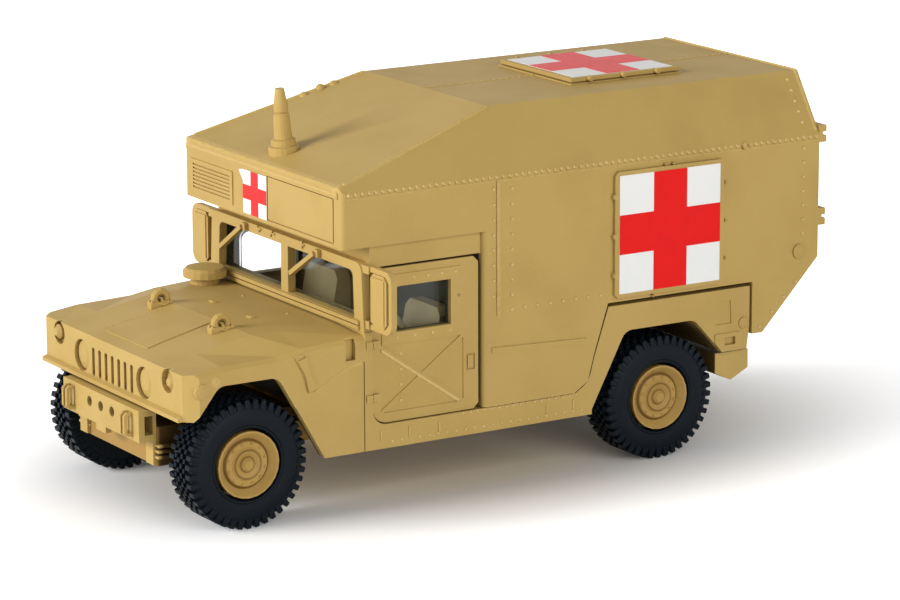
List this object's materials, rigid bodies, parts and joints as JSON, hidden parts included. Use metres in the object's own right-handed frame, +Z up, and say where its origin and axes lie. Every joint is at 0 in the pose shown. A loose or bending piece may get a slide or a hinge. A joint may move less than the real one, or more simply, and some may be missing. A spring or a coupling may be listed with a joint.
{
  "type": "scale model of a military ambulance truck",
  "caption": "Plastic scale model of a sand-painted military ambulance truck with a box shelter, cross panels, lugged tyres and turning axles.",
  "frame": {"origin": "on the ground under the middle of the model's box", "axes": "+Z up, -Y to the vehicle's front, +X to its left side"},
  "size_m": [0.0318, 0.061, 0.0314],
  "materials": {
    "sand_paint": "matt sand paint on moulded plastic",
    "rim_paint": "matt sand paint, slightly warmer",
    "tyre_rubber": "black moulded tyre with a faint sheen",
    "clear_glazing": "clear polystyrene",
    "cab_plastic": "unpainted sand plastic",
    "chassis_plastic": "sand plastic",
    "cross_panel": "white panel with a red cross",
    "axle_steel": "plain steel pin"
  },
  "bodies": {
    "vehicle": {"lower_body": "sand_paint", "hood": "sand_paint", "shelter": "sand_paint", "windscreen": "clear_glazing", "cab_tub": "cab_plastic", "dashboard": "cab_plastic", "steering_wheel": "cab_plastic", "chassis": "chassis_plastic", "front_carrier": "chassis_plastic", "rear_carrier": "chassis_plastic", "front_bumper": "sand_paint", "rear_step": "sand_paint", "wiper_left": "sand_paint", "wiper_right": "sand_paint", "air_intake": "sand_paint", "roof_cone": "sand_paint", "roof_panel": "cross_panel", "door_left": "sand_paint", "door_right": "sand_paint", "side_glass_left": "clear_glazing", "side_glass_right": "clear_glazing", "rear_door_left": "sand_paint", "rear_door_right": "sand_paint", "side_panel_left": "cross_panel", "side_panel_right": "cross_panel", "mirror_left": "sand_paint", "mirror_right": "sand_paint", "lifting_ring_left": "sand_paint", "lifting_ring_right": "sand_paint"},
    "front_wheels": {"front_axle": "axle_steel", "front_rim_left": "rim_paint", "front_rim_right": "rim_paint", "front_tyre_left": "tyre_rubber", "front_tyre_right": "tyre_rubber"},
    "rear_wheels": {"rear_axle": "axle_steel", "rear_rim_left": "rim_paint", "rear_rim_right": "rim_paint", "rear_tyre_left": "tyre_rubber", "rear_tyre_right": "tyre_rubber"}
  },
  "joints": [
    {"name": "front_axle_turn", "type": "hinge", "parent": "vehicle", "child": "front_wheels", "pos_m": [0, -0.0233, 0.0051], "axis": [1, 0, 0], "continuous": true},
    {"name": "rear_axle_turn", "type": "hinge", "parent": "vehicle", "child": "rear_wheels", "pos_m": [0, 0.01465, 0.0051], "axis": [1, 0, 0], "continuous": true}
  ]
}
